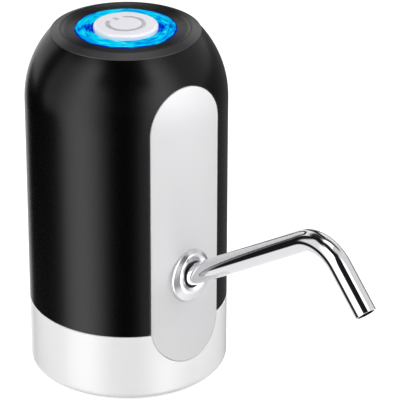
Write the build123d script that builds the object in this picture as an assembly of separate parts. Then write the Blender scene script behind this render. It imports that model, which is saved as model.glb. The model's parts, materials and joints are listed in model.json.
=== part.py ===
from build123d import *
import os
from math import acos, atan2, cos, radians, sin, sqrt, tan

# Pump that stands on the neck of a large water bottle and fills a glass at the push of a button.
# Millimetres, +Z up. The origin is on the body's axis at the foot of the base.
# The panel and the spout face -Y. Each piece has a function of its own.

# Clearances and cuts
overrun = 1.0  # how far a cutter runs past the face that it opens
seam = 0.12  # gap at the joints between casing pieces
slip = 0.05  # radial clearance of a fitted or sliding piece
running = 0.03  # radial clearance of the motor shaft in its bushes
play = 0.3  # gap between pieces that move past each other

# Body form
body_height = 129.6
shoulder_radius = 36.0
foot_radius = 35.85
dome_radius = 36.0
rim_radius = 26.5
casing_wall = 2.2
base_height = 25.6  # joint between the white base and the black casing
foot_rounding = 2.6
edge_rounding = 0.35

# Neck socket in the base
neck_radius = 27.75
neck_depth = 14.2
neck_relief = 1.0  # height of the undercut at the socket's root
neck_relief_depth = 0.4
sleeve_wall = 2.0
ceiling = 2.5
foot_floor = 2.5
foot_rib = 1.2
foot_rib_count = 12
foot_rib_top_share = 0.8
neck_seal_width = 5.6
neck_seal_height = 2.0
neck_seal_proud = 0.5
pocket_radius = 7.5  # room round the hose spigot
pocket_wall = 1.8
spigot_radius = 3.0
spigot_length = 8.0
spigot_bore = 1.4
spigot_neck = 0.6  # how far the neck in the pocket's roof stands out and hangs down
spigot_flange_radius = 5.5
spigot_flange = 1.2

# Joint between base and casing
lip_wall = 1.6
lip_height = 4.5
lip_root = 3.0
catch_count = 4
catch_turn = 45  # degrees
catch_width = 8.0
catch_height = 1.5
catch_depth = 0.8
catch_drop_share = 0.5

# Front panel
panel_half_width = 14.95
panel_drop = 10.13  # from the casing's rim down to the panel's top
panel_bottom = 12.3
panel_corner = 1.2
panel_lap = 1.5
panel_lap_wall = 1.0

# Top cap, light ring and button
cap_bevel_width = 3.2
cap_bevel_rise = 1.15
cap_edge = 0.3
cap_plate = 2.4
cap_lip = 0.5  # narrow flat inside the bevel
cap_dish = 0.45  # drop from that flat to the middle
cap_dish_slope = 1.2
cap_ledge_width = 2.4
cap_ledge_depth = 3.0
cap_spigot_wall = 1.6
ring_radius = 17.9
ring_drop = 0.2
ring_depth = 9.4
ring_lap = 2.2
ring_lap_wall = 1.6
button_radius = 11.4
button_rise = 1.3
button_rounding = 0.9
button_plate = 1.8
button_wall = 1.4
button_lap = 1.8
button_lap_wall = 1.0
button_stem_radius = 2.2
button_travel = 0.6

# Control board under the cap
board_radius = 27.5
board_wall = 1.6
board_boss_radius = 2.5
board_boss_share = 0.3
board_screw_count = 3
board_screw_turn = 30  # degrees
lamp_count = 8
lamp_height = 1.9
lamp_length = 3.5
lamp_width = 2.8
lamp_gap = 1.2
switch_width = 6.0
switch_height = 2.2
switch_corner = 0.7
plunger_radius = 1.7
chip_length = 8.0
chip_width = 5.0
chip_height = 1.5

# Screws
screw_radius = 1.1
screw_length = 6.5
screw_head_radius = 2.0
screw_head = 1.4
screw_slot_share = 0.35

# Spout
tube_radius = 3.75
tube_wall = 0.7
spout_height = 46.2  # where the spout's axis meets its root
spout_inset = 0.42  # of that point from the body's outside
spout_rise = 32.0  # degrees above the level
spout_fall = 43.7  # degrees below the level
spout_run = 83.0  # from the root to the corner of the centre lines
spout_drop = 30.0  # from that corner to the outlet
spout_bend = 16.0
spout_depth = 17.0  # from the root to the inner end
ring_cord = 1.0  # section of the spout's O-rings
ring_groove = 0.4
ring_places_share = (0.45, 0.78)

# Collar and socket of the spout
collar_radius = 10.0  # up and down from the spout's axis
collar_width_share = 0.83
collar_edge = 0.7
collar_crest_radius = 7.7
collar_reach = 2.6  # of the crest from the body's outside
collar_rounding = 0.9
collar_dish_radius = 6.6
collar_dish = 0.8
socket_wall = 1.4
socket_flange_radius = 9.0
socket_flange = 1.6
socket_stop = 0.4
water_bore = 1.3
barb_radius = 2.05
barb_length = 5.5
barb_gap = 1.0
hose_wall = 1.4
elbow_radius = 3.4

# Diaphragm pump
head_radius = 12.5
cover_height = 8.0
cover_wall = 1.7
cover_low = 3.2  # from the cover's foot to the outlet's axis
inlet_chamber_radius = 4.4
valve_plate_wall = 3.0
valve_hole_radius = 0.7
valve_radius = 2.4
valve_wall = 0.6
chamber_circle = 7.0
chamber_count = 3
chamber_radius = 3.6
chamber_top_radius = 2.3
chamber_rise = 1.0
chamber_skin = 0.6
diaphragm_wall = 1.6
stem_radius = 1.2
drive_height = 16.0
drive_wall = 1.5
drive_floor = 2.0
pump_screw_circle = 10.6
pump_screw_radius = 0.8
pump_screw_head_radius = 1.3

# Wobble drive
wobble_tilt = 7.0  # degrees
pivot_rise = 1.8  # of the pivot above the diaphragm
wobble_hub_radius = 3.0
wobble_hub = 3.2
wobble_arm_width = 3.4
wobble_arm = 1.6
wobble_arm_rise = 0.6
wobble_pad_radius = 2.4
wobble_pin_radius = 1.0
wobble_pin_length = 8.0
crank_radius = 5.5
crank_height = 6.4
crank_top_gap = 0.5

# Motor
motor_radius = 12.0
motor_room_share = 0.557  # of the height between drive and control board
motor_wall = 1.0
motor_cap = 2.2
motor_cap_plug = 1.6
shaft_radius = 1.0
shaft_in_crank = 2.6
bush_radius = 2.6
bush_length = 2.6
magnet_wall = 2.2
magnet_arc = 140.0  # degrees
magnet_length_share = 0.7
air_gap = 0.5
armature_gap = 1.8
armature_slot = 1.6
armature_slot_share = 0.55
commutator_radius = 3.0
commutator_length = 2.6
tag_width = 2.4
tag_wall = 0.5
tag_length = 3.0
tag_spread_share = 0.5

# Cell and carrier
cell_radius = 9.2
cell_length = 65.0
cell_fit = 0.2
cell_angle = -16.0  # degrees round the body's axis from +X
cell_button_radius = 3.0
cell_button = 0.8
cell_rounding = 0.6
cell_tag_wall = 0.25
cup_wall = 1.4
cup_height = 20.0
chassis_radius = 31.0
chassis_floor = 2.0
well_wall = 1.6
well_height = 25.0
well_ledge = 1.8
chassis_screw_circle = 18.6
chassis_screw_count = 3
chassis_screw_turn = 30  # degrees
chassis_boss_radius = 2.6
chassis_boss = 6.0

# Charging board and its socket
port_height = 50.2
port_width = 10.4
port_tall = 5.4
port_rounding = 1.6
port_recess = 0.75  # from the casing's inside to the mouth of the socket
charging_width = 22.0
charging_tall = 17.0
charging_wall = 1.4
charging_boss_radius = 2.2
charging_boss_spread = 8.0
charging_screw_length = 5.0
plug_width = 7.6
plug_tall = 2.9
plug_depth = 5.5
plug_wall = 0.35
plug_rounding = 0.9
plug_back = 1.6
tongue_width = 3.8
tongue_wall = 0.7
tongue_length = 3.0

# Leads
lead_radius = 0.6
lead_spread = 4.0

# Heights and places that follow from the sizes above
rim_height = body_height - cap_bevel_rise - cap_edge - seam
dome_angle = acos((rim_radius - shoulder_radius + dome_radius) / dome_radius)
shoulder_height = rim_height - dome_radius * sin(dome_angle)
cap_opening = rim_radius - cap_ledge_width
ledge_bottom = rim_height - cap_ledge_depth
panel_top = rim_height - panel_drop
ring_bore = button_radius + play + slip
ring_bottom = body_height - ring_depth
button_lap_radius = button_radius + button_lap
button_foot = ring_bottom - play - button_lap_wall
lamp_circle = button_lap_radius + play + lamp_width / 2
board_top = ring_bottom - lamp_gap - lamp_height
board_bottom = board_top - board_wall
board_screw_circle = cap_opening + board_boss_radius * board_boss_share
plunger_top = board_top + switch_height + 2 * button_travel + play
ceiling_top = neck_depth + ceiling
pocket_top = neck_depth + spigot_length
pocket_roof = pocket_top + pocket_wall
sleeve_radius = neck_radius + sleeve_wall

tilt = radians(spout_rise)
body_flare = (shoulder_radius - foot_radius) / shoulder_height
spout_face = foot_radius + body_flare * spout_height  # the body's outside behind the spout
spout_root = spout_face - spout_inset
socket_bore = tube_radius - ring_groove + ring_cord + slip
socket_radius = socket_bore + socket_wall
outlet_height = spout_height - (spout_depth + socket_stop + socket_wall) * sin(tilt)
barb_root_y = -spout_root + (spout_depth + socket_stop + socket_wall) * cos(tilt) + elbow_radius
pump_y = barb_root_y + 2 * barb_length + barb_gap + head_radius
hose_bore = barb_radius + slip
hose_radius = hose_bore + hose_wall

cover_bottom = outlet_height - cover_low
cover_top = cover_bottom + cover_height
valve_top = cover_top + valve_plate_wall
diaphragm_top = valve_top + diaphragm_wall
drive_top = diaphragm_top + drive_height
pivot_height = diaphragm_top + pivot_rise
crank_top = drive_top - drive_floor - crank_top_gap
crank_bottom = crank_top - crank_height
shaft_bottom = crank_top - shaft_in_crank
motor_length = (board_bottom - drive_top) * motor_room_share
motor_top = drive_top + motor_length
motor_cap_top = motor_top + motor_cap
motor_bore = motor_radius - motor_wall
armature_radius = motor_bore - magnet_wall - air_gap
armature_bottom = drive_top + bush_length + armature_gap
armature_top = motor_top - bush_length - commutator_length - armature_gap
shaft_top = motor_cap_top - motor_cap / 2

cell_place = chassis_radius - cup_wall - cell_fit - cell_radius
cell_x = cell_place * cos(radians(cell_angle))
cell_y = cell_place * sin(radians(cell_angle))
chassis_top = ceiling_top + chassis_floor
cell_bottom = chassis_top + cell_tag_wall
cell_top = cell_bottom + cell_length
port_face = foot_radius + body_flare * port_height  # the body's outside round the port
port_y = sqrt((port_face - casing_wall) ** 2 - port_width**2 / 4) - port_recess
charging_face = port_y - plug_depth
charging_back = charging_face - charging_wall

spout_frame = Plane((0, -spout_root, spout_height), x_dir=(1, 0, 0), z_dir=(0, -cos(tilt), sin(tilt)))
wobble_axis = (sin(radians(wobble_tilt)), 0, cos(radians(wobble_tilt)))
wobble_x = (cos(radians(wobble_tilt)), 0, -sin(radians(wobble_tilt)))
wobble_frame = Plane((0, pump_y, pivot_height), x_dir=wobble_x, z_dir=wobble_axis)
upward = (Align.CENTER, Align.CENTER, Align.MIN)


def rod(radius, low, high, x=0, y=0):
    return Pos(x, y, low) * Cylinder(radius, high - low, align=upward)


def pipe(radius, bore, low, high, x=0, y=0):
    return rod(radius, low, high, x, y) - rod(bore, low - overrun, high + overrun, x, y)


def block(width, depth, low, high, x=0, y=0):
    return Pos(x, y, low) * Box(width, depth, high - low, align=upward)


def turned(points):
    return revolve(Plane.XZ * make_face(Polyline(*points, close=True)), Axis.Z)


def level_rod(radius, back, front, x=0, z=0):
    # cylinder along Y, from y = back to y = front
    frame = Plane((x, back, z), x_dir=(1, 0, 0), z_dir=(0, 1, 0))
    return frame * Cylinder(radius, front - back, align=upward)


def round_about(count, radius, turn=0):
    return [Rot(0, 0, turn + 360 * i / count) * Pos(radius, 0, 0) for i in range(count)]


def screw(length, radius=screw_radius, head=screw_head_radius):
    # pan head below, shank up from z = 0
    pan = fillet(rod(head, -screw_head, 0).edges().group_by(Axis.Z)[0], screw_head * screw_slot_share)
    slot = block(head * screw_slot_share, 3 * head, -screw_head - overrun, -screw_head / 2)
    return pan - slot + rod(radius, 0, length)


def dome_point(reach, angle):
    centre = shoulder_radius - dome_radius
    return (centre + reach * cos(angle), shoulder_height + reach * sin(angle))


def shoulder_lean(inset):
    # angle on the dome where the side, which widens a little upwards, runs into it without a crease
    run = foot_radius - inset - shoulder_radius + dome_radius
    return acos((dome_radius - inset) / sqrt(run**2 + shoulder_height**2)) - atan2(shoulder_height, run)


def body_form(inset):
    # the smooth outside of the whole body, moved in by inset, up to the rim
    reach = dome_radius - inset
    lean = shoulder_lean(inset)
    foot = (foot_radius - inset, 0)
    shoulder = dome_point(reach, lean)
    crown = dome_point(reach, (lean + dome_angle) / 2)
    rim = dome_point(reach, dome_angle)
    side = Polyline((0, rim[1]), (0, 0), foot, shoulder)
    outline = side + ThreePointArc(shoulder, crown, rim) + Line(rim, (0, rim[1]))
    return revolve(Plane.XZ * make_face(outline), Axis.Z)


def between(form, low, high):
    return form & rod(2 * shoulder_radius, low, high)


def panel_prism(margin):
    # upright slot with round ends, from the body's axis out to the front
    tall = panel_top - panel_bottom + 2 * margin
    wide = 2 * (panel_half_width + margin)
    face = Rot(0, 0, 90) * SlotOverall(tall, wide)
    middle = Plane((0, 0, (panel_top + panel_bottom) / 2), x_dir=(1, 0, 0), z_dir=(0, -1, 0))
    return extrude(middle * face, shoulder_radius + overrun)


def along_spout(radius, start, stop):
    return spout_frame * Pos(0, 0, start) * Cylinder(radius, stop - start, align=upward)


def outer_shell():
    cavity = between(body_form(casing_wall), -overrun, ledge_bottom)
    shell = between(body_form(0), base_height + seam, rim_height) - cavity
    boss = rod(board_boss_radius, board_top, ledge_bottom + overrun)
    hole = rod(screw_radius + slip, board_top - overrun, board_bottom + screw_length + play)
    for place in round_about(board_screw_count, board_screw_circle, board_screw_turn):
        shell += place * boss
        shell -= place * hole
    shell -= rod(cap_opening, ledge_bottom, rim_height + overrun)
    for x in (-charging_boss_spread, charging_boss_spread):
        post = level_rod(charging_boss_radius, charging_face, port_face, x, port_height)
        shell += post & body_form(casing_wall / 2)
        tip = charging_back + charging_screw_length + play
        shell -= level_rod(screw_radius + slip, charging_back, tip, x, port_height)
    shell += [place * casing_catch() for place in round_about(catch_count, 0, catch_turn)]
    shell -= panel_prism(0)
    port = port_frame(port_y - casing_wall) * RectangleRounded(port_width, port_tall, port_rounding)
    shell -= extrude(port, port_face - port_y + casing_wall + overrun)
    shell = fillet(shell.edges().filter_by(on_panel_corner), panel_corner)
    return fillet(shell.edges().filter_by(on_outer_seam), edge_rounding)


def port_frame(y):
    # square to +Y at the height of the charging port
    return Plane((0, y, port_height), x_dir=(1, 0, 0), z_dir=(0, 1, 0))


def on_panel_corner(edge):
    spot = edge.center()
    low = abs(spot.Z - base_height - seam) < seam
    beside = abs(abs(spot.X) - panel_half_width) < seam
    return low and beside and spot.Y < 0 and edge.length < 2 * casing_wall


def on_outer_seam(edge):
    spot = edge.center()
    low = spot.Z < base_height + casing_wall
    return low and edge.length > panel_half_width and face_miss(edge) < seam


def casing_catch():
    # wedge inside the casing that snaps into a window of the base's lip
    low = base_height + lip_height * catch_drop_share
    place = face_radius(low) - casing_wall
    wedge = block(2 * catch_depth, catch_width, low, low + catch_height, place)
    return wedge & between(body_form(casing_wall / 2), low, low + catch_height)


def base_skirt():
    base = between(body_form(0), 0, base_height)
    base = fillet(base.edges().group_by(Axis.Z)[0], foot_rounding)
    base = fillet(base.edges().group_by(Axis.Z)[-1], edge_rounding)
    channel = between(body_form(casing_wall), foot_floor, base_height + overrun)
    base -= channel - rod(sleeve_radius, 0, ceiling_top)
    webs = round_about(foot_rib_count, 0, 180 / foot_rib_count - 90)
    base += [place * foot_web() for place in webs[1:-1]]  # none behind the panel
    base += base_lip()
    base += rod(pocket_radius + pocket_wall, neck_depth, pocket_roof, 0, pump_y)
    base -= rod(pocket_radius, neck_depth - overrun, pocket_top, 0, pump_y)
    neck = spigot_radius + spigot_neck + slip
    base -= rod(neck, pocket_top - overrun, pocket_roof + overrun, 0, pump_y)
    base -= rod(neck_radius, -overrun, neck_depth)
    base -= rod(neck_radius + neck_relief_depth, neck_depth - neck_relief, neck_depth)
    groove_top = neck_depth + neck_seal_height - neck_seal_proud
    base -= pipe(neck_radius, neck_radius - neck_seal_width, neck_depth - overrun, groove_top)
    for place in round_about(chassis_screw_count, chassis_screw_circle, chassis_screw_turn):
        base -= place * rod(screw_radius + slip, neck_depth - overrun, ceiling_top + overrun)
        base -= place * rod(screw_head_radius + slip, neck_depth - overrun, neck_depth + screw_head)
    base -= panel_prism(0) & body_form(0) - body_form(casing_wall + panel_lap_wall + 2 * seam)
    lap = body_form(casing_wall) - body_form(casing_wall + panel_lap_wall + 2 * seam)
    return base - (panel_prism(panel_lap + seam) & lap)


def foot_web():
    high = foot_floor + (ceiling_top - foot_floor) * foot_rib_top_share
    web = block(2 * shoulder_radius, foot_rib, foot_floor / 2, high, shoulder_radius, 0)
    return web & body_form(casing_wall / 2) - rod(sleeve_radius - sleeve_wall / 2, 0, base_height)


def base_lip():
    top = base_height + lip_height
    inner = body_form(casing_wall + seam + lip_wall)
    root = between(body_form(casing_wall / 2) - inner, base_height - lip_root, base_height - edge_rounding)
    lip = between(body_form(casing_wall + seam) - inner, base_height - lip_root, top)
    low = base_height + lip_height * catch_drop_share - seam
    high = low + catch_height + 2 * seam
    window = block(4 * lip_wall, catch_width + 2 * play, low, high, face_radius(low) - casing_wall)
    ring = root + lip
    for place in round_about(catch_count, 0, catch_turn):
        ring -= place * window
    return ring - panel_prism(panel_lap + play)


def front_panel():
    skin = body_form(0) - body_form(casing_wall)
    panel = skin & panel_prism(-seam)
    panel = fillet(panel.edges().filter_by(on_panel_face), edge_rounding)
    lap = body_form(casing_wall) - body_form(casing_wall + panel_lap_wall)
    panel += lap & panel_prism(panel_lap)
    return panel - along_spout(socket_radius + slip, -spout_depth, spout_depth)


def on_panel_face(edge):
    return face_miss(edge) < seam and edge.bounding_box().size.Z > seam


def face_miss(edge):
    # how far the edge's ends lie from the outside of the body
    return max(abs(sqrt(v.X**2 + v.Y**2) - face_radius(v.Z)) for v in edge.vertices())


def face_radius(height):
    shoulder = dome_point(dome_radius, shoulder_lean(0))
    if height < shoulder[1]:
        return foot_radius + (shoulder[0] - foot_radius) * height / shoulder[1]
    return shoulder_radius - dome_radius + sqrt(dome_radius**2 - (height - shoulder_height) ** 2)


def top_cap():
    low = rim_height + seam
    plate_bottom = body_height - cap_plate
    bore = ring_radius + seam
    bevel = rim_radius - cap_bevel_width
    spigot = cap_opening - slip
    return turned(
        [
            (bore, plate_bottom),
            (spigot - cap_spigot_wall, plate_bottom),
            (spigot - cap_spigot_wall, ledge_bottom),
            (spigot, ledge_bottom),
            (spigot, low),
            (rim_radius, low),
            (rim_radius, low + cap_edge),
            (bevel, body_height),
            (bevel - cap_lip, body_height),
            (bevel - cap_lip - cap_dish_slope, body_height - cap_dish),
            (bore, body_height - cap_dish),
        ]
    )


def light_ring():
    top = body_height - ring_drop
    lap_top = body_height - cap_plate
    lap_radius = ring_radius + ring_lap
    ring = turned(
        [
            (ring_bore, ring_bottom),
            (ring_radius, ring_bottom),
            (ring_radius, lap_top - ring_lap_wall),
            (lap_radius, lap_top - ring_lap_wall),
            (lap_radius, lap_top),
            (ring_radius, lap_top),
            (ring_radius, top),
            (ring_bore, top),
        ]
    )
    return fillet(ring.edges().group_by(Axis.Z)[-1], edge_rounding)


def power_button():
    top = body_height + button_rise
    button = rod(button_radius, button_foot, top)
    button = fillet(button.edges().group_by(Axis.Z)[-1], button_rounding)
    button += rod(button_lap_radius, button_foot, button_foot + button_lap_wall)
    button -= rod(button_radius - button_wall, button_foot - overrun, top - button_plate)
    return button + rod(button_stem_radius, plunger_top, top - button_plate)


def switch_plunger():
    return rod(plunger_radius, plunger_top - 2 * button_travel - switch_height / 2, plunger_top)


def switch_body():
    body = block(switch_width, switch_width, board_top, board_top + switch_height)
    body = chamfer(body.edges().filter_by(Axis.Z), switch_corner)
    return body - rod(plunger_radius + slip, board_top + play / 2, board_top + switch_height + overrun)


def lamps():
    lamp = block(lamp_width, lamp_length, board_top, board_top + lamp_height)
    return [place * lamp for place in round_about(lamp_count, lamp_circle)]


def control_board():
    board = rod(board_radius, board_bottom, board_top)
    for place in round_about(board_screw_count, board_screw_circle, board_screw_turn):
        board -= place * rod(screw_radius + slip, board_bottom - overrun, board_top + overrun)
    return board


def control_chip():
    return block(chip_length, chip_width, board_bottom - chip_height, board_bottom, 0, -board_radius / 2)


def board_screws():
    places = round_about(board_screw_count, board_screw_circle, board_screw_turn)
    return [place * Pos(0, 0, board_bottom) * screw(screw_length) for place in places]


def neck_seal():
    low = neck_depth - neck_seal_proud
    high = neck_depth + neck_seal_height - neck_seal_proud
    return pipe(neck_radius - slip, neck_radius - neck_seal_width + slip, low, high)


def intake_spigot():
    flange_top = pocket_roof + spigot_flange
    spigot = rod(spigot_radius, neck_depth, pocket_roof, 0, pump_y)
    spigot = chamfer(spigot.edges().group_by(Axis.Z)[0], spigot_bore / 2)
    spigot += rod(spigot_radius + spigot_neck, pocket_top - spigot_neck, pocket_roof, 0, pump_y)
    spigot += rod(spigot_flange_radius, pocket_roof, flange_top, 0, pump_y)
    spigot += rod(barb_radius, pocket_roof, flange_top + intake_barb(), 0, pump_y)
    return spigot - rod(spigot_bore, neck_depth - overrun, cover_bottom, 0, pump_y)


def intake_barb():
    return (cover_bottom - pocket_roof - spigot_flange - barb_gap) / 2


def intake_hose():
    return pipe(hose_radius, hose_bore, pocket_roof + spigot_flange, cover_bottom, 0, pump_y)


def chassis():
    carrier = rod(chassis_radius, ceiling_top, chassis_top)
    well_radius = head_radius + slip + well_wall
    carrier += rod(well_radius, ceiling_top, chassis_top + well_height, 0, pump_y)
    carrier += rod(cell_radius + cell_fit + cup_wall, ceiling_top, chassis_top + cup_height, cell_x, cell_y)
    for place in round_about(chassis_screw_count, chassis_screw_circle, chassis_screw_turn):
        carrier += place * rod(chassis_boss_radius, ceiling_top, chassis_top + chassis_boss)
        tip = neck_depth + screw_head + screw_length + play
        carrier -= place * rod(screw_radius + slip, ceiling_top - overrun, tip)
    carrier -= rod(head_radius + slip, cover_bottom, chassis_top + well_height + overrun, 0, pump_y)
    carrier -= rod(head_radius - well_ledge, chassis_top, cover_bottom + overrun, 0, pump_y)
    pocket = pocket_radius + pocket_wall + slip
    carrier -= rod(pocket, ceiling_top - overrun, chassis_top + overrun, 0, pump_y)
    carrier -= rod(cell_radius + cell_fit, chassis_top, chassis_top + cup_height + overrun, cell_x, cell_y)
    way = hose_radius + play
    front = pump_y - head_radius
    slot = block(2 * way, 2 * head_radius, outlet_height, chassis_top + well_height + overrun, 0, front)
    slot += level_rod(way, front - head_radius, pump_y, 0, outlet_height)
    carrier -= slot - rod(head_radius - well_ledge, 0, body_height, 0, pump_y)
    head = rod(pump_screw_head_radius + play, cover_bottom - screw_head - play, cover_bottom + overrun)
    carrier -= [place * head for place in pump_screw_places()]
    return carrier - (panel_prism(panel_lap + play) - body_form(casing_wall + panel_lap_wall + play))


def chassis_screws():
    places = round_about(chassis_screw_count, chassis_screw_circle, chassis_screw_turn)
    return [place * Pos(0, 0, neck_depth + screw_head) * screw(screw_length) for place in places]


def pump_cover():
    floor = cover_bottom + cover_wall
    front = pump_y - head_radius
    tip = front - barb_length
    cover = rod(head_radius, cover_bottom, cover_top, 0, pump_y)
    cover -= rod(head_radius - cover_wall, floor, cover_top + overrun, 0, pump_y)
    boss = rod(pump_screw_radius + cover_wall / 2, cover_bottom, cover_top)
    cover += [place * boss for place in pump_screw_places()]
    cover += rod(inlet_chamber_radius, cover_bottom, cover_top, 0, pump_y)
    cover -= rod(inlet_chamber_radius - cover_wall / 2, floor, cover_top + overrun, 0, pump_y)
    cover += rod(barb_radius, cover_bottom - intake_barb(), floor, 0, pump_y)
    cover += level_rod(barb_radius, tip, front + cover_wall, 0, outlet_height)
    cover -= rod(water_bore, cover_bottom - intake_barb() - overrun, floor + overrun, 0, pump_y)
    cover -= level_rod(water_bore, tip - overrun, front + 2 * cover_wall, 0, outlet_height)
    return cover - pump_screw_holes()


def pump_screw_places():
    places = round_about(chamber_count, pump_screw_circle, 180 / chamber_count)
    return [Pos(0, pump_y, 0) * place for place in places]


def pump_screw_holes():
    hole = rod(pump_screw_radius + slip, cover_bottom - overrun, drive_top - drive_floor)
    return [place * hole for place in pump_screw_places()]


def pump_screws():
    length = drive_top - drive_floor - cover_bottom - play
    long_screw = Pos(0, 0, cover_bottom) * screw(length, pump_screw_radius, pump_screw_head_radius)
    return [place * long_screw for place in pump_screw_places()]


def chamber_places():
    return [Pos(0, pump_y, 0) * place for place in round_about(chamber_count, chamber_circle)]


def valve_plate():
    plate = rod(head_radius, cover_top, valve_top, 0, pump_y)
    hole = rod(valve_hole_radius, cover_top - overrun, valve_top + overrun)
    for place in chamber_places():
        plate -= place * Pos(-valve_radius + valve_hole_radius, 0, 0) * hole
        plate -= place * Pos(valve_radius - valve_hole_radius, 0, 0) * hole
    return plate - pump_screw_holes()


def valve_discs():
    disc = rod(valve_radius, valve_top, valve_top + valve_wall)
    return [place * disc for place in chamber_places()]


def diaphragm():
    sheet = rod(head_radius, valve_top, diaphragm_top, 0, pump_y)
    dome_top = diaphragm_top + chamber_rise
    cup = Pos(0, 0, diaphragm_top) * Cone(chamber_radius, chamber_top_radius, chamber_rise, align=upward)
    hollow = rod(chamber_radius - chamber_skin, valve_top - overrun, dome_top - chamber_skin)
    hollow = hollow & rod(chamber_radius - chamber_skin, valve_top - overrun, diaphragm_top) + cup_hollow()
    for i, place in enumerate(chamber_places()):
        sheet += place * cup
        sheet -= place * hollow
        reach = chamber_circle * cos(radians(360 * i / chamber_count))
        pad = pivot_height + wobble_arm_rise - reach * sin(radians(wobble_tilt))
        sheet += place * rod(stem_radius, dome_top - chamber_skin / 2, pad - play)
    return sheet - pump_screw_holes()


def cup_hollow():
    low = chamber_radius - chamber_skin
    high = chamber_top_radius - chamber_skin
    return Pos(0, 0, diaphragm_top) * Cone(low, high, chamber_rise - chamber_skin, align=upward)


def drive_housing():
    bore = head_radius - drive_wall
    drive = rod(head_radius, diaphragm_top, drive_top, 0, pump_y)
    drive -= rod(bore, diaphragm_top - overrun, drive_top - drive_floor, 0, pump_y)
    for place in pump_screw_places():
        drive += place * rod(pump_screw_radius + drive_wall / 2, diaphragm_top, drive_top - drive_floor)
    drive -= rod(bush_radius + play, diaphragm_top, drive_top + overrun, 0, pump_y)
    return drive - pump_screw_holes()


def wobble_plate():
    arm_top = wobble_arm_rise + wobble_arm
    pad = rod(wobble_pad_radius, wobble_arm_rise, arm_top, chamber_circle)
    arm = block(chamber_circle, wobble_arm_width, wobble_arm_rise, arm_top, chamber_circle / 2)
    plate = rod(wobble_hub_radius, 0, wobble_hub)
    plate += [turn * (arm + pad) for turn in round_about(chamber_count, 0)]
    return wobble_frame * (plate - rod(wobble_pin_radius + slip, wobble_arm_rise, wobble_hub + overrun))


def wobble_pin():
    return wobble_frame * rod(wobble_pin_radius, wobble_arm_rise, wobble_pin_length)


def crank():
    body = rod(crank_radius, crank_bottom, crank_top, 0, pump_y)
    body = chamfer(body.edges(), shaft_radius / 2)
    body -= rod(shaft_radius + slip, shaft_bottom - play, crank_top + overrun, 0, pump_y)
    return body - wobble_frame * rod(wobble_pin_radius + slip, 0, wobble_pin_length + play)


def motor_can():
    can = rod(motor_radius, drive_top, motor_top, 0, pump_y)
    can -= rod(motor_bore, drive_top + motor_wall, motor_top + overrun, 0, pump_y)
    return can - rod(bush_radius + slip, drive_top - overrun, drive_top + motor_wall + overrun, 0, pump_y)


def motor_end_cap():
    cap = rod(motor_radius, motor_top, motor_cap_top, 0, pump_y)
    cap += rod(motor_bore - slip, motor_top - motor_cap_plug, motor_top, 0, pump_y)
    for x in tag_places():
        cap -= block(tag_width + 2 * slip, tag_wall + 2 * slip, motor_top, shaft_top + motor_cap, x, pump_y)
    return cap - rod(bush_radius + slip, motor_top - bush_length, shaft_top, 0, pump_y)


def tag_places():
    spread = motor_radius * tag_spread_share
    return (-spread, spread)


def motor_tags():
    tag_top = motor_cap_top + tag_length
    return [block(tag_width, tag_wall, motor_top, tag_top, x, pump_y) for x in tag_places()]


def motor_bushes():
    bore = shaft_radius + running
    foots = (drive_top - motor_wall, shaft_top - bush_length)
    return [pipe(bush_radius, bore, foot, foot + bush_length, 0, pump_y) for foot in foots]


def motor_magnets():
    length = motor_length * magnet_length_share
    low = drive_top + (motor_length - length) / 2
    ring = pipe(motor_bore - slip, motor_bore - magnet_wall, low, low + length)
    seat = (Align.NONE, Align.NONE, Align.MIN)
    wedge = Pos(0, 0, low) * Cylinder(motor_radius, length, arc_size=magnet_arc, align=seat)
    return [Pos(0, pump_y, 0) * Rot(0, 0, turn - magnet_arc / 2) * (ring & wedge) for turn in (0, 180)]


def motor_shaft():
    return rod(shaft_radius, shaft_bottom, shaft_top - running, 0, pump_y)


def armature():
    core = rod(armature_radius, armature_bottom, armature_top)
    depth = armature_radius * armature_slot_share
    low = armature_bottom - overrun
    high = armature_top + overrun
    slot = block(2 * depth, armature_slot, low, high, armature_radius)
    core -= [turn * slot for turn in round_about(chamber_count, 0)]
    core -= rod(shaft_radius + slip, low, high)
    return Pos(0, pump_y, 0) * core


def commutator():
    high = armature_top + commutator_length
    return pipe(commutator_radius, shaft_radius + slip, armature_top, high, 0, pump_y)


def battery_cell():
    cell = rod(cell_radius, cell_bottom, cell_top, cell_x, cell_y)
    cell = fillet(cell.edges(), cell_rounding)
    return cell + rod(cell_button_radius, cell_top, cell_top + cell_button, cell_x, cell_y)


def battery_tags():
    low = rod(cell_button_radius, chassis_top, cell_bottom, cell_x, cell_y)
    high = cell_top + cell_button
    return [low, block(lead_spread, 2 * cell_button_radius, high, high + cell_tag_wall, cell_x, cell_y)]


def charging_board():
    board = extrude(port_frame(charging_back) * Rectangle(charging_width, charging_tall), charging_wall)
    hole = level_rod(screw_radius + slip, charging_back - overrun, charging_face + overrun, 0, port_height)
    return board - [Pos(x, 0, 0) * hole for x in (-charging_boss_spread, charging_boss_spread)]


def charging_screws():
    pin = port_frame(charging_back) * screw(charging_screw_length)
    return [Pos(x, 0, 0) * pin for x in (-charging_boss_spread, charging_boss_spread)]


def socket_outline(inset):
    return RectangleRounded(plug_width - 2 * inset, plug_tall - 2 * inset, plug_rounding - inset)


def charging_socket():
    frame = port_frame(charging_face)
    jacket = extrude(frame * socket_outline(0), plug_depth)
    return jacket - extrude(frame * socket_outline(plug_wall), plug_depth + overrun)


def socket_tongue():
    frame = port_frame(charging_face)
    back = extrude(frame * socket_outline(plug_wall + slip), plug_back)
    return back + extrude(frame * Rectangle(tongue_width, tongue_wall), plug_back + tongue_length)


def charging_chip():
    low = port_height + charging_tall / 4
    return block(chip_length, chip_height, low, low + chip_width / 2, 0, charging_back - chip_height / 2)


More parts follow.
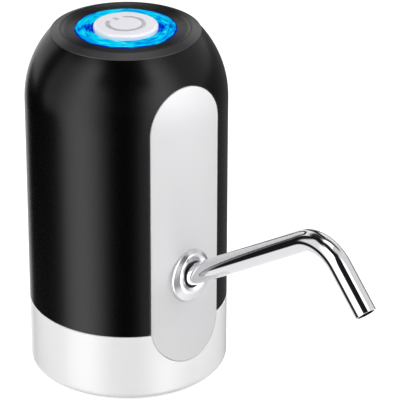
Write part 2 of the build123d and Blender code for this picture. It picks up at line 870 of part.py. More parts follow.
def spout_tube():
    path = FilletPolyline((0, 0, -spout_depth), (0, 0, spout_run), corner_to_outlet(), radius=spout_bend)
    outer = sweep(Plane(path @ 0, z_dir=path % 0) * Circle(tube_radius), path)
    bore = sweep(Plane(path @ 0, z_dir=path % 0) * Circle(tube_radius - tube_wall), path)
    tube = outer - bore
    half = ring_cord / 2 + slip
    groove = pipe(tube_radius + overrun, tube_radius - ring_groove, -half, half)
    return spout_frame * (tube - [Pos(0, 0, place) * groove for place in ring_heights()])


def corner_to_outlet():
    bend = radians(spout_rise + spout_fall)
    return (0, -spout_drop * sin(bend), spout_run + spout_drop * cos(bend))


def ring_heights():
    return [-spout_depth * share for share in ring_places_share]


def spout_rings():
    centre = tube_radius - ring_groove + slip + ring_cord / 2
    ring = Torus(centre, ring_cord / 2 - slip / 2)
    return [spout_frame * Pos(0, 0, place) * ring for place in ring_heights()]


def spout_collar():
    foot = collar_oval(-casing_wall, collar_radius)
    edge = collar_oval(collar_edge, collar_radius)
    crest = collar_oval(collar_reach, collar_crest_radius)
    collar = loft([foot, edge, crest], ruled=True)
    rims = collar.edges().filter_by(lambda rim: rim.is_closed and rim.center().Y < -spout_face)
    collar = fillet(rims, collar_rounding)
    floor = collar_oval(collar_reach - collar_dish, socket_bore)
    mouth = [collar_oval(rise, collar_dish_radius) for rise in (collar_reach, collar_reach + overrun)]
    collar -= loft([floor, *mouth], ruled=True)
    collar -= body_form(-slip)
    return collar - along_spout(socket_bore, -spout_depth, spout_depth)


def collar_oval(rise, radius):
    # round the spout's axis, that far out from the body's outside
    height = spout_height + (spout_inset + rise) * tan(tilt)
    level = Plane((0, -spout_face - rise, height), x_dir=(1, 0, 0), z_dir=(0, -1, 0))
    return level * Ellipse(radius * collar_width_share, radius)


def spout_socket():
    length = spout_depth + socket_stop + socket_wall
    socket = along_spout(socket_radius, -length, spout_depth)
    socket = socket & body_form(casing_wall / 4)
    flange = level_rod(socket_flange_radius, -shoulder_radius, 0, 0, spout_height)
    behind = casing_wall + panel_lap_wall + slip
    socket += flange & body_form(behind) - body_form(behind + socket_flange)
    heel = barb_root_y - 2 * elbow_radius
    tip = barb_root_y + barb_length
    socket += level_rod(elbow_radius, heel, barb_root_y, 0, outlet_height)
    socket += level_rod(barb_radius, heel, tip, 0, outlet_height)
    socket -= along_spout(socket_bore, -spout_depth - socket_stop, spout_depth + overrun)
    return socket - level_rod(water_bore, heel, tip + overrun, 0, outlet_height)


def outlet_hose():
    hose = level_rod(hose_radius, barb_root_y, pump_y - head_radius, 0, outlet_height)
    return hose - level_rod(hose_bore, barb_root_y - overrun, pump_y, 0, outlet_height)


def motor_leads():
    low = motor_cap_top + tag_length
    return [rod(lead_radius, low, board_bottom, x, pump_y) for x in tag_places()]


def cell_leads():
    low = cell_top + cell_button + cell_tag_wall
    spots = (cell_y - lead_spread / 2, cell_y + lead_spread / 2)
    return [rod(lead_radius, low, board_bottom, cell_x, y) for y in spots]


def charging_leads():
    low = port_height + charging_tall / 4 + chip_width / 2
    y = charging_back - lead_radius
    return [rod(lead_radius, low, board_bottom, x, y) for x in (-lead_spread, lead_spread)]


pieces = [
    outer_shell,
    front_panel,
    base_skirt,
    top_cap,
    light_ring,
    power_button,
    switch_plunger,
    switch_body,
    lamps,
    control_board,
    control_chip,
    board_screws,
    neck_seal,
    intake_spigot,
    intake_hose,
    chassis,
    chassis_screws,
    pump_cover,
    pump_screws,
    valve_plate,
    valve_discs,
    diaphragm,
    drive_housing,
    wobble_plate,
    wobble_pin,
    crank,
    motor_can,
    motor_end_cap,
    motor_tags,
    motor_bushes,
    motor_magnets,
    motor_shaft,
    armature,
    commutator,
    battery_cell,
    battery_tags,
    charging_board,
    charging_screws,
    charging_socket,
    socket_tongue,
    charging_chip,
    spout_tube,
    spout_rings,
    spout_collar,
    spout_socket,
    outlet_hose,
    motor_leads,
    cell_leads,
    charging_leads,
]


def main():
    os.makedirs("parts", exist_ok=True)
    for piece in pieces:
        made = piece()
        solids = made if isinstance(made, list) else made.solids()
        shape = solids[0] if len(solids) == 1 else Compound(children=list(solids))
        export_step(shape, os.path.join("parts", piece.__name__ + ".step"))


if __name__ == "__main__":
    main()
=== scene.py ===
import json
import math
import bpy
from mathutils import Matrix, Vector


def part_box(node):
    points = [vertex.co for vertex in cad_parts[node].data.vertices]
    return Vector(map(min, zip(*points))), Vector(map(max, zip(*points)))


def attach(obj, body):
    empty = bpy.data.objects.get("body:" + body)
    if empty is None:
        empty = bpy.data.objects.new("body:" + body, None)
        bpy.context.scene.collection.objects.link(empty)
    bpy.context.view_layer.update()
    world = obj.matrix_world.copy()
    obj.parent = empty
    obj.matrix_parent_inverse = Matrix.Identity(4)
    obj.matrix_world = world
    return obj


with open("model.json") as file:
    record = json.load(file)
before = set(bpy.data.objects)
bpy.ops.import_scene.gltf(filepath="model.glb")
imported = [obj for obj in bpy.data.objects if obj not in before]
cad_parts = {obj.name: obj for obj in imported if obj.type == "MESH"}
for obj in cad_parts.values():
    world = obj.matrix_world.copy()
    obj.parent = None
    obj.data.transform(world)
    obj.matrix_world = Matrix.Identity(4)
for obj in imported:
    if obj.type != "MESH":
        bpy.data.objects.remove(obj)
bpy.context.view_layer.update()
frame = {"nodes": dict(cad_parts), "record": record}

nodes = frame["nodes"]
mm = 0.001
print("frame loaded:", len(nodes), "nodes")


def hexLinear(code):  # sRGB hex to linear RGBA
    steps = [int(code[i:i + 2], 16) / 255 for i in (1, 3, 5)]
    return [v / 12.92 if v <= 0.04045 else ((v + 0.055) / 1.055) ** 2.4 for v in steps] + [1.0]


def addNode(tree, kind, links=None, **settings):  # links: socket name or number to a socket or a plain value
    node = tree.nodes.new(kind)
    for key, value in settings.items():
        setattr(node, key, value)
    for socket, source in (links or {}).items():
        if isinstance(source, bpy.types.NodeSocket):
            tree.links.new(source, node.inputs[socket])
        else:
            node.inputs[socket].default_value = source
    return node


def newMaterial(name):
    material = bpy.data.materials.new(name)
    material.use_nodes = True
    tree = material.node_tree
    tree.nodes.clear()
    shader = addNode(tree, "ShaderNodeBsdfPrincipled")
    addNode(tree, "ShaderNodeOutputMaterial", {"Surface": shader.outputs[0]})
    place = addNode(tree, "ShaderNodeTexCoord").outputs["Object"]
    return material, tree, shader, place


def perMetre(size):  # noise scale for a feature of that many millimetres
    return 1 / (size * mm)


# Camera: the photograph's own, worked out from the ellipses of cap, ring and base
camera = {"turn": -37.39, "height": 62.3, "distance": 1005.2, "pitch": 26.041, "pan": 1.653, "roll": 0.128,
          "focal": 2793.876, "picture": 400, "sensor": 36, "nearEnd": 0.05, "farEnd": 50}


def makeCamera(c):
    turn, pitch, pan, roll = (math.radians(c[k]) for k in ("turn", "pitch", "pan", "roll"))
    upright = Matrix.Rotation(turn, 3, "Z")
    ahead = Vector((0, math.cos(pitch), -math.sin(pitch)))
    eye = upright @ (Vector((0, 0, c["height"])) - c["distance"] * ahead) * mm
    look = upright @ Matrix.Rotation(-pan, 3, "Z") @ ahead
    right = look.cross(Vector((0, 0, 1))).normalized()
    up = right.cross(look)
    right, up = math.cos(roll) * right + math.sin(roll) * up, math.cos(roll) * up - math.sin(roll) * right
    data = bpy.data.cameras.new("photoCamera")
    data.sensor_width = c["sensor"]
    data.lens = c["sensor"] * c["focal"] / c["picture"]
    data.clip_start, data.clip_end = c["nearEnd"], c["farEnd"]
    holder = bpy.data.objects.new("photoCamera", data)
    holder.matrix_world = Matrix((right, up, -look)).transposed().to_4x4()
    holder.location = eye
    bpy.context.scene.collection.objects.link(holder)
    bpy.context.scene.camera = holder


makeCamera(camera)
print("camera set")

# Studio: an even fill for matt pieces and, for glossy ones, the patches of light and dark that they mirror
studio = {
    "turn": camera["turn"], "fill": 0.68, "open": 0.8,
    # turn to the camera's right, half width, lift, half height and soft edge in degrees, then light; later rows lie
    # over earlier ones and what stands at 180 comes in two halves
    "patches": (
        (0, 200, -90, 57, 6, 1.0),  # sweep under the object
        (78, 20, -25, 33, 10, 0.7),  # sweep at the right
        (118, 36, 32, 30, 16, 0.85),  # white wall at the right, behind
        (-145, 26, 12, 22, 8, 0.95),  # white wall at the left, behind
        (-166, 16, -10, 14, 6, 0.9),  # and under it
        (-160, 13, 14, 15, 8, 1.0), (160, 13, 14, 15, 8, 1.0),  # cards behind
        (-180, 14, -32, 14, 20, 1.2), (180, 14, -32, 14, 20, 1.2),  # soft light behind, low
        (-180, 8, 34, 30, 6, 0.02), (180, 8, 34, 30, 6, 0.02),  # dark gap between the cards
        (-150, 22, 50, 13, 12, 0.03), (150, 22, 50, 13, 12, 0.03),  # and over them
        (-180, 40, 80, 12, 8, 4.2), (180, 40, 80, 12, 8, 4.2),  # soft light overhead
        (-114, 38, -20.5, 12.5, 6, 0.012),  # black flag at the left
        (-114, 9, 14, 50, 6, 0.012),  # black post behind it
        (-100, 34, 50, 14, 10, 0.012),  # black flag over the post
        (142, 44, -16, 20, 6, 0.17),  # grey flag at the right, behind
        (-30, 80, 44, 36, 12, 0.012),  # room behind the camera
        (-89, 14, 13, 25, 8, 0.9),  # white wall at the room's left end
        (0, 32, -20, 32, 20, 0.012),  # floor of the room
        (-52, 19, 4, 56, 38, 3.8),  # tall soft light, left
        (43, 18, 4, 56, 36, 3.9),  # tall soft light, right
        (-3, 37, 48, 20, 12, 0.012),  # ceiling of the room, between the two
        (-42, 44, 67, 14, 8, 0.012)),  # and over the left one
    "aim": 68 * mm,
    "lamps": (  # turn and lift in degrees, distance and size in metres, watts
        ("leftLamp", -94, 30, 0.9, 0.5, 4.0),
        ("rightLamp", 27, 42, 0.32, 0.2, 0.68),
        ("topLamp", -37, 84, 1.2, 0.9, 1.3)),
}


def makeWorld(s):
    world = bpy.data.worlds.new("studio")
    bpy.context.scene.world = world
    world.use_nodes = True
    tree = world.node_tree
    tree.nodes.clear()
    sine, cosine = math.sin(math.radians(s["turn"])), math.cos(math.radians(s["turn"]))
    way = addNode(tree, "ShaderNodeTexCoord").outputs["Generated"]
    toCamera = addNode(tree, "ShaderNodeVectorMath", {0: way, 1: (sine, -cosine, 0)}, operation="DOT_PRODUCT")
    toRight = addNode(tree, "ShaderNodeVectorMath", {0: way, 1: (cosine, sine, 0)}, operation="DOT_PRODUCT")
    axes = addNode(tree, "ShaderNodeSeparateXYZ", {0: way})
    turn = addNode(tree, "ShaderNodeMath", {0: toRight.outputs["Value"], 1: toCamera.outputs["Value"]},
                   operation="ARCTAN2")
    lift = addNode(tree, "ShaderNodeMath", {0: axes.outputs["Z"]}, operation="ARCSINE")
    angles = [addNode(tree, "ShaderNodeMath", {0: a.outputs[0]}, operation="DEGREES").outputs[0] for a in (turn, lift)]
    total = s["open"]
    for turnAt, turnHalf, liftAt, liftHalf, soft, light in s["patches"]:
        edges = []
        for angle, at, half in zip(angles, (turnAt, liftAt), (turnHalf, liftHalf)):
            gap = addNode(tree, "ShaderNodeMath", {0: angle, 1: float(at)}, operation="SUBTRACT")
            off = addNode(tree, "ShaderNodeMath", {0: gap.outputs[0]}, operation="ABSOLUTE")
            edge = addNode(tree, "ShaderNodeMapRange",
                           {0: off.outputs[0], 1: half - soft / 2, 2: half + soft / 2, 3: 1.0, 4: 0.0},
                           interpolation_type="SMOOTHSTEP")
            edges.append(edge.outputs[0])
        cover = addNode(tree, "ShaderNodeMath", {0: edges[0], 1: edges[1]}, operation="MULTIPLY")
        total = addNode(tree, "ShaderNodeMix", {0: cover.outputs[0], 2: total, 3: light}).outputs[0]
    path = addNode(tree, "ShaderNodeLightPath")
    mirrored = addNode(tree, "ShaderNodeMix", {0: path.outputs["Is Glossy Ray"], 2: s["fill"], 3: total})
    seen = addNode(tree, "ShaderNodeMath", {0: path.outputs["Is Camera Ray"], 1: path.outputs["Is Transmission Ray"]},
                   operation="MAXIMUM")
    level = addNode(tree, "ShaderNodeMix", {0: seen.outputs[0], 2: mirrored.outputs[0], 3: 1.0})
    glow = addNode(tree, "ShaderNodeBackground", {"Color": (1, 1, 1, 1), "Strength": level.outputs[0]})
    addNode(tree, "ShaderNodeOutputWorld", {"Surface": glow.outputs[0]})


def makeLamps(s):
    for name, turn, lift, away, size, power in s["lamps"]:
        data = bpy.data.lights.new(name, "AREA")
        data.size, data.energy = size, power
        a, e = math.radians(turn), math.radians(lift)
        towards = Vector((math.sin(a) * math.cos(e), -math.cos(a) * math.cos(e), math.sin(e)))
        lamp = bpy.data.objects.new(name, data)
        lamp.location = Vector((0, 0, s["aim"])) + away * towards
        lamp.rotation_euler = towards.to_track_quat("Z", "Y").to_euler()
        lamp.visible_glossy = False  # glossy pieces see the soft lights among the patches
        bpy.context.scene.collection.objects.link(lamp)


# Floor: white paper that takes the shadow, lit up to white for the camera and clear from below, for a look at the base
floorSheet = {"reach": 6.0, "drop": 0.2 * mm, "paper": "#B8B8B8", "glow": 0.72}


def makeFloor(f):
    material, tree, shader = newMaterial("whitePaper")[:3]
    path = addNode(tree, "ShaderNodeLightPath")
    paper = addNode(tree, "ShaderNodeBsdfDiffuse", {"Color": hexLinear(f["paper"])})
    glow = addNode(tree, "ShaderNodeEmission", {"Color": (1, 1, 1, 1), "Strength": f["glow"]})
    both = addNode(tree, "ShaderNodeAddShader", {0: paper.outputs[0], 1: glow.outputs[0]})
    seen = addNode(tree, "ShaderNodeMixShader",
                   {0: path.outputs["Is Camera Ray"], 1: paper.outputs[0], 2: both.outputs[0]})
    below = addNode(tree, "ShaderNodeNewGeometry").outputs["Backfacing"]
    clear = addNode(tree, "ShaderNodeBsdfTransparent")
    sheet = addNode(tree, "ShaderNodeMixShader", {0: below, 1: seen.outputs[0], 2: clear.outputs[0]})
    output = next(n for n in tree.nodes if n.type == "OUTPUT_MATERIAL")
    tree.links.new(sheet.outputs[0], output.inputs["Surface"])
    tree.nodes.remove(shader)
    mesh = bpy.data.meshes.new("floor")
    r = f["reach"]
    mesh.from_pydata([(-r, -r, 0), (r, -r, 0), (r, r, 0), (-r, r, 0)], [], [(0, 1, 2, 3)])
    mesh.materials.append(material)
    floor = bpy.data.objects.new("floor", mesh)
    floor.location.z = -f["drop"]
    floor.visible_glossy = False
    bpy.context.scene.collection.objects.link(floor)


makeWorld(studio)
makeLamps(studio)
makeFloor(floorSheet)
bpy.context.scene.view_settings.view_transform = "Standard"
print("studio set")

reliefDepth = 0.05 * mm  # height of the grain that a moulding tool or a spray gun leaves
noiseSpan = (0.3, 0.7)  # where most of a noise texture lies


# Grain, tone and gloss that vary a little over a surface: what a moulded, painted or plated piece shows close to
def finish(name, tone, shade, grain, metal=0.0, rough=(0.3, 0.4), bump=0.0, level=0.5, cloud=18.0):
    material, tree, shader, place = newMaterial(name)
    broad = addNode(tree, "ShaderNodeTexNoise", {"Vector": place, "Scale": perMetre(cloud), "Detail": 2.0})
    fine = addNode(tree, "ShaderNodeTexNoise", {"Vector": place, "Scale": perMetre(grain), "Detail": 3.0})
    tint = addNode(tree, "ShaderNodeMix", {0: broad.outputs["Fac"], 6: hexLinear(tone), 7: hexLinear(shade)},
                   data_type="RGBA")
    gloss = addNode(tree, "ShaderNodeMapRange",
                    {0: fine.outputs["Fac"], 1: noiseSpan[0], 2: noiseSpan[1], 3: rough[0], 4: rough[1]})
    tree.links.new(tint.outputs[2], shader.inputs["Base Color"])
    tree.links.new(gloss.outputs[0], shader.inputs["Roughness"])
    shader.inputs["Metallic"].default_value = metal
    if not metal:
        shader.inputs["Specular IOR Level"].default_value = level
    if bump:
        relief = addNode(tree, "ShaderNodeBump",
                         {"Height": fine.outputs["Fac"], "Strength": bump, "Distance": reliefDepth})
        tree.links.new(relief.outputs[0], shader.inputs["Normal"])
    return material


# ABS moulded in a lightly eroded tool: deep black with broad soft lights
satinBlack = finish("satinBlackAbs", "#010101", "#030303", 0.5, rough=(0.22, 0.28), bump=0.05, level=0.22)
# ABS moulded in a polished tool: clean white with a clear sheen
glossWhite = finish("glossWhiteAbs", "#F1F1F1", "#ECECED", 2.0, rough=(0.14, 0.22), level=0.5)
# Sprayed silver paint: even grey, its flake drawn coarse to show
silverPaint = finish("silverSatinPaint", "#D5D5D6", "#D0D0D2", 0.35, metal=0.1, rough=(0.5, 0.62), bump=0.05)
# ABS moulded in a polished tool: cool white
buttonWhite = finish("buttonWhiteAbs", "#D4D3D8", "#CFCED4", 1.5, rough=(0.16, 0.24), level=0.4)
# Pad-printed ink: flat grey
signGrey = finish("signGreyPrint", "#A6A6AB", "#9C9CA1", 0.3, rough=(0.4, 0.5))
# Drawn and buffed stainless tube: mirrors in long stripes
polishedSteel = finish("polishedStainless", "#E8E8EA", "#E0E0E3", 0.6, metal=1.0, rough=(0.03, 0.08))
# Chrome on a zinc casting: bright, with softer edges to what it mirrors
brightChrome = finish("brightChrome", "#E6E6E8", "#DEDEE1", 0.8, metal=1.0, rough=(0.3, 0.36))

# Cap: charcoal ABS, turned to a fine round grain that fans its sheen out from the middle; the bevel's paler tone is
# painted light, for the brighter light that the bevel catches
capFace = {"bevelFrom": 23.0, "bevelTo": 23.4, "flat": "#0D0D0F", "bevel": "#202022", "spun": 0.95, "rough": 0.35,
           "gloss": 0.58, "turnings": 0.25, "relief": 0.05}  # turnings drawn coarse to show


def charcoalAbs(c):
    material, tree, shader, place = newMaterial("charcoalAbs")
    axes = addNode(tree, "ShaderNodeSeparateXYZ", {0: place})
    across = addNode(tree, "ShaderNodeCombineXYZ", {0: axes.outputs["X"], 1: axes.outputs["Y"]})
    reach = addNode(tree, "ShaderNodeVectorMath", {0: across.outputs[0]}, operation="LENGTH")
    onBevel = addNode(tree, "ShaderNodeMapRange",
                      {0: reach.outputs["Value"], 1: c["bevelFrom"] * mm, 2: c["bevelTo"] * mm})
    # painted light: the bevel takes a paler colour than the flat, for the light it catches
    tint = addNode(tree, "ShaderNodeMix", {0: onBevel.outputs[0], 6: hexLinear(c["flat"]), 7: hexLinear(c["bevel"])},
                   data_type="RGBA")
    turnings = addNode(tree, "ShaderNodeTexNoise",
                       {"Vector": reach.outputs["Value"], "Scale": perMetre(c["turnings"]), "Detail": 2.0})
    relief = addNode(tree, "ShaderNodeBump",
                     {"Height": turnings.outputs["Fac"], "Strength": c["relief"], "Distance": reliefDepth})
    tree.links.new(tint.outputs[2], shader.inputs["Base Color"])
    tree.links.new(across.outputs[0], shader.inputs["Tangent"])
    tree.links.new(relief.outputs[0], shader.inputs["Normal"])
    shader.inputs["Anisotropic"].default_value = c["spun"]
    shader.inputs["Roughness"].default_value = c["rough"]
    shader.inputs["Specular IOR Level"].default_value = c["gloss"]
    return material


# Light guide: clear acrylic over blue lamps. Its glow drowns its gloss: streaks run round it, painted shade darkens two
# wedges beside the button on the camera's left and right, and its outer edge is deep blue
guide = {"inner": 11.75, "outer": 17.9, "streaks": 2.2, "bands": 4.2, "detail": 4.0, "waver": 1.4,
         "wedgeTurn": -37.4, "wedgeReach": 0.5, "wedgeWide": 0.085, "wedgeEdge": (-0.03, 0.05), "wedgeShadeDepth": 0.3,
         "rim": 0.9, "rimDark": 0.3, "glow": 0.92, "body": "#001030", "rough": 0.2,
         "stops": ((0.18, "#0014B4"), (0.3, "#0058DC"), (0.4, "#00A4EA"), (0.5, "#00CCF4"), (0.64, "#18E8FF"),
                   (0.8, "#D4FAFF"))}


def litAcrylic(g):
    material, tree, shader, place = newMaterial("litAcrylic")
    axes = addNode(tree, "ShaderNodeSeparateXYZ", {0: place})
    flat = addNode(tree, "ShaderNodeCombineXYZ", {0: axes.outputs["X"], 1: axes.outputs["Y"]})
    reach = addNode(tree, "ShaderNodeVectorMath", {0: flat.outputs[0]}, operation="LENGTH")
    share = addNode(tree, "ShaderNodeMapRange", {0: reach.outputs["Value"], 1: g["inner"] * mm, 2: g["outer"] * mm})
    way = addNode(tree, "ShaderNodeVectorMath", {0: flat.outputs[0]}, operation="NORMALIZE")
    drawn = addNode(tree, "ShaderNodeVectorMath", {0: way.outputs[0], 1: (g["streaks"], g["streaks"], 0)},
                    operation="MULTIPLY")
    band = addNode(tree, "ShaderNodeMath", {0: share.outputs[0], 1: g["bands"]}, operation="MULTIPLY")
    up = addNode(tree, "ShaderNodeCombineXYZ", {2: band.outputs[0]})
    polar = addNode(tree, "ShaderNodeVectorMath", {0: drawn.outputs[0], 1: up.outputs[0]}, operation="ADD")
    streak = addNode(tree, "ShaderNodeTexNoise",
                     {"Vector": polar.outputs[0], "Scale": 1.0, "Detail": g["detail"], "Distortion": g["waver"]})
    # painted shade: two dark wedges beside the button, on the camera's left-right line, taken off the glow
    turn = math.radians(g["wedgeTurn"])
    beside = addNode(tree, "ShaderNodeVectorMath", {0: way.outputs[0], 1: (math.cos(turn), math.sin(turn), 0)},
                     operation="DOT_PRODUCT")
    near = addNode(tree, "ShaderNodeMath", {0: beside.outputs["Value"]}, operation="ABSOLUTE")
    thin = addNode(tree, "ShaderNodeMapRange",
                   {0: share.outputs[0], 1: 0.0, 2: g["wedgeReach"], 3: 1 - g["wedgeWide"], 4: 1.0})
    inside = addNode(tree, "ShaderNodeMath", {0: near.outputs[0], 1: thin.outputs[0]}, operation="SUBTRACT")
    paintedWedgeShade = addNode(tree, "ShaderNodeMapRange",
                    {0: inside.outputs[0], 1: g["wedgeEdge"][0], 2: g["wedgeEdge"][1], 3: 0.0, 4: g["wedgeShadeDepth"]})
    rim = addNode(tree, "ShaderNodeMapRange", {0: share.outputs[0], 1: g["rim"], 2: 1.0, 3: 0.0, 4: g["rimDark"]})
    less = addNode(tree, "ShaderNodeMath", {0: streak.outputs["Fac"], 1: paintedWedgeShade.outputs[0]}, operation="SUBTRACT")
    light = addNode(tree, "ShaderNodeMath", {0: less.outputs[0], 1: rim.outputs[0]}, operation="SUBTRACT")
    ramp = addNode(tree, "ShaderNodeValToRGB", {0: light.outputs[0]})
    stops = ramp.color_ramp.elements
    for end, (at, code) in ((0, g["stops"][0]), (1, g["stops"][-1])):
        stops[end].position, stops[end].color = at, hexLinear(code)
    for at, code in g["stops"][1:-1]:
        stops.new(at).color = hexLinear(code)
    tree.links.new(ramp.outputs[0], shader.inputs["Emission Color"])
    shader.inputs["Emission Strength"].default_value = g["glow"]
    shader.inputs["Base Color"].default_value = hexLinear(g["body"])
    shader.inputs["Roughness"].default_value = g["rough"]
    shader.inputs["Specular IOR Level"].default_value = 0.0
    return material


plain = {  # record slot: two tones, grain in millimetres, metal, roughness, relief
    "seal_rubber": ("#2A2A2A", "#232323", 0.3, 0.0, (0.6, 0.75), 0.3),  # moulded EPDM, dull and dark
    "silicone": ("#DADAD6", "#CFCFCA", 1.5, 0.0, (0.3, 0.42), 0.0),  # extruded silicone, milky
    "pump_plastic": ("#D4D4D0", "#C9C9C4", 0.5, 0.0, (0.35, 0.5), 0.1),  # natural nylon, off-white
    "chassis_plastic": ("#7C7C7F", "#727275", 0.5, 0.0, (0.45, 0.6), 0.1),  # glass-filled ABS, dull grey
    "crank_plastic": ("#363637", "#2E2E2F", 0.4, 0.0, (0.35, 0.5), 0.1),  # acetal, waxy dark grey
    "board_green": ("#1B6B44", "#165A39", 0.8, 0.0, (0.25, 0.4), 0.15),  # lacquered glass fibre, satin green
    "chip_black": ("#242425", "#1D1D1E", 0.2, 0.0, (0.5, 0.65), 0.2),  # moulded epoxy, dull black
    "lamp_resin": ("#EFEFDF", "#E2E2CF", 0.6, 0.0, (0.1, 0.2), 0.0),  # cast resin, glossy cream
    "steel": ("#C2C3C6", "#AEB0B4", 0.4, 1.0, (0.25, 0.4), 0.1),  # zinc plate, cool and satin
    "brass": ("#D9BC7E", "#C8A868", 0.4, 1.0, (0.25, 0.4), 0.1),  # turned brass, warm and satin
    "magnet": ("#474749", "#3D3D3F", 0.3, 0.0, (0.55, 0.7), 0.3),  # sintered ferrite, gritty dark grey
    "core": ("#8A7F78", "#776C66", 0.35, 0.6, (0.4, 0.55), 0.3),  # stacked sheet, brownish grey
    "cell": ("#3C7BB0", "#356E9E", 2.0, 0.0, (0.2, 0.3), 0.0),  # shrink sleeve, glossy blue
    "lead": ("#B0302E", "#9C2826", 0.8, 0.0, (0.4, 0.5), 0.1),  # soft PVC, satin red
}
slotFinish = {slot: finish(slot + "Finish", tone, shade, grain, metal=metal, rough=rough, bump=bump)
              for slot, (tone, shade, grain, metal, rough, bump) in plain.items()}
slotFinish.update(shell_black=satinBlack, base_white=glossWhite, panel_silver=silverPaint,
                  cap_charcoal=charcoalAbs(capFace), ring_blue=litAcrylic(guide), button_white=buttonWhite,
                  spout_steel=polishedSteel, collar_chrome=brightChrome)

for part in frame["record"]["subparts"]:
    mesh = nodes[part["node"]].data
    mesh.materials.clear()
    mesh.materials.append(slotFinish[part["material_slot"]])
print("finishes on", len(slotFinish), "slots")


def newTree(name, sizes):  # one named input for each size
    tree = bpy.data.node_groups.new(name, "GeometryNodeTree")
    for key, value in sizes.items():
        kind = "NodeSocketInt" if isinstance(value, int) else "NodeSocketFloat"
        tree.interface.new_socket(key, in_out="INPUT", socket_type=kind)
    tree.interface.new_socket("Geometry", in_out="OUTPUT", socket_type="NodeSocketGeometry")
    return tree, addNode(tree, "NodeGroupInput").outputs


def endTree(tree, shape, material):
    real = addNode(tree, "GeometryNodeRealizeInstances", {0: shape})
    dressed = addNode(tree, "GeometryNodeSetMaterial", {"Geometry": real.outputs[0], "Material": material})
    addNode(tree, "NodeGroupOutput", {0: dressed.outputs[0]})


def grow(name, tree, sizes, body):  # a plain mesh from a tree, on its body
    holder = bpy.data.objects.new(name, bpy.data.meshes.new(name))
    bpy.context.scene.collection.objects.link(holder)
    modifier = holder.modifiers.new("grow", "NODES")
    modifier.node_group = tree
    for socket in tree.interface.items_tree:
        if socket.in_out == "INPUT":
            modifier[socket.identifier] = sizes[socket.name]
    made = bpy.data.meshes.new_from_object(holder.evaluated_get(bpy.context.evaluated_depsgraph_get()))
    holder.modifiers.clear()
    made.name = name
    holder.data = made
    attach(holder, body)
    print(name, len(made.polygons), "faces")


# Power sign: open ring and tick, printed on the button, its gap towards the back
powerSign = {"ring": 6.35 * mm, "stroke": 1.4 * mm, "ink": 0.05 * mm, "gap": math.radians(58.0), "facets": 96,
             "tickFrom": 4.4 * mm, "tickTo": 7.0 * mm, "lift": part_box("power_button")[1].z + 0.01 * mm}


def makePowerSign(s):
    tree, size = newTree("powerSignTree", s)
    section = addNode(tree, "GeometryNodeCurvePrimitiveQuadrilateral", {"Width": size["stroke"], "Height": size["ink"]})
    half = addNode(tree, "ShaderNodeMath", {0: size["gap"], 1: 2.0}, operation="DIVIDE")
    start = addNode(tree, "ShaderNodeMath", {0: half.outputs[0], 1: math.pi / 2}, operation="ADD")
    sweep = addNode(tree, "ShaderNodeMath", {0: 2 * math.pi, 1: size["gap"]}, operation="SUBTRACT")
    arc = addNode(tree, "GeometryNodeCurveArc", {"Resolution": size["facets"], "Radius": size["ring"],
                                                 "Start Angle": start.outputs[0], "Sweep Angle": sweep.outputs[0]})
    low = addNode(tree, "ShaderNodeCombineXYZ", {1: size["tickFrom"]})
    high = addNode(tree, "ShaderNodeCombineXYZ", {1: size["tickTo"]})
    tick = addNode(tree, "GeometryNodeCurvePrimitiveLine", {"Start": low.outputs[0], "End": high.outputs[0]})
    lines = addNode(tree, "GeometryNodeJoinGeometry")
    tree.links.new(arc.outputs["Curve"], lines.inputs[0])
    tree.links.new(tick.outputs["Curve"], lines.inputs[0])
    solid = addNode(tree, "GeometryNodeCurveToMesh",
                    {"Curve": lines.outputs[0], "Profile Curve": section.outputs[0], "Fill Caps": True})
    up = addNode(tree, "ShaderNodeCombineXYZ", {2: size["lift"]})
    placed = addNode(tree, "GeometryNodeTransform", {"Geometry": solid.outputs[0], "Translation": up.outputs[0]})
    endTree(tree, placed.outputs[0], signGrey)
    grow("power_sign", tree, s, "button")


makePowerSign(powerSign)

# Contacts: flat strips under the tongue of the charging socket
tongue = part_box("socket_tongue")
contacts = {"count": 5, "pitch": 0.65 * mm, "wide": 0.36 * mm, "long": 2.2 * mm, "thick": 0.08 * mm,
            "along": tongue[1].y - 1.4 * mm, "level": (tongue[0].z + tongue[1].z) / 2 - 0.35 * mm}


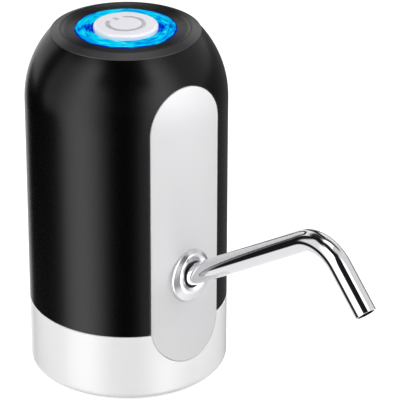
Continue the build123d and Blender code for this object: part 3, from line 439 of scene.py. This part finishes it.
def makeContacts(c):
    tree, size = newTree("contactsTree", c)
    strip = addNode(tree, "ShaderNodeCombineXYZ", {0: size["wide"], 1: size["long"], 2: size["thick"]})
    block = addNode(tree, "GeometryNodeMeshCube", {"Size": strip.outputs[0]})
    gaps = addNode(tree, "ShaderNodeMath", {0: size["count"], 1: 1.0}, operation="SUBTRACT")
    span = addNode(tree, "ShaderNodeMath", {0: gaps.outputs[0], 1: size["pitch"]}, operation="MULTIPLY")
    first = addNode(tree, "ShaderNodeMath", {0: span.outputs[0], 1: -0.5}, operation="MULTIPLY")
    start = addNode(tree, "ShaderNodeCombineXYZ", {0: first.outputs[0], 1: size["along"], 2: size["level"]})
    step = addNode(tree, "ShaderNodeCombineXYZ", {0: size["pitch"]})
    row = addNode(tree, "GeometryNodeMeshLine",
                  {"Count": size["count"], "Start Location": start.outputs[0], "Offset": step.outputs[0]})
    strips = addNode(tree, "GeometryNodeInstanceOnPoints",
                     {"Points": row.outputs[0], "Instance": block.outputs["Mesh"]})
    endTree(tree, strips.outputs[0], slotFinish["brass"])
    grow("socket_contacts", tree, c, "housing")


makeContacts(contacts)

# Ridges: round beads under the seal, one inside the other, that press on the bottle's rim
ridges = {"count": 3, "inner": 23.5 * mm, "pitch": 1.5 * mm, "bead": 0.3 * mm, "beadFacets": 12, "loopFacets": 128,
          "level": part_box("neck_seal")[0].z}


def makeRidges(r):
    tree, size = newTree("ridgesTree", r)
    bead = addNode(tree, "GeometryNodeCurvePrimitiveCircle", {"Resolution": size["beadFacets"], "Radius": size["bead"]})
    loop = addNode(tree, "GeometryNodeCurvePrimitiveCircle", {"Resolution": size["loopFacets"], "Radius": 1.0})
    turns = addNode(tree, "GeometryNodeMeshLine", {"Count": size["count"], "Offset": (0, 0, 0)})
    number = addNode(tree, "GeometryNodeInputIndex")
    radius = addNode(tree, "ShaderNodeMath", {0: number.outputs[0], 1: size["pitch"], 2: size["inner"]},
                     operation="MULTIPLY_ADD")
    reach = addNode(tree, "ShaderNodeCombineXYZ", {0: radius.outputs[0], 1: radius.outputs[0], 2: 1.0})
    loops = addNode(tree, "GeometryNodeInstanceOnPoints",
                    {"Points": turns.outputs[0], "Instance": loop.outputs["Curve"], "Scale": reach.outputs[0]})
    real = addNode(tree, "GeometryNodeRealizeInstances", {0: loops.outputs[0]})
    beads = addNode(tree, "GeometryNodeCurveToMesh", {"Curve": real.outputs[0], "Profile Curve": bead.outputs["Curve"]})
    down = addNode(tree, "ShaderNodeCombineXYZ", {2: size["level"]})
    placed = addNode(tree, "GeometryNodeTransform", {"Geometry": beads.outputs[0], "Translation": down.outputs[0]})
    endTree(tree, placed.outputs[0], slotFinish["seal_rubber"])
    grow("seal_ridges", tree, r, "housing")


makeRidges(ridges)
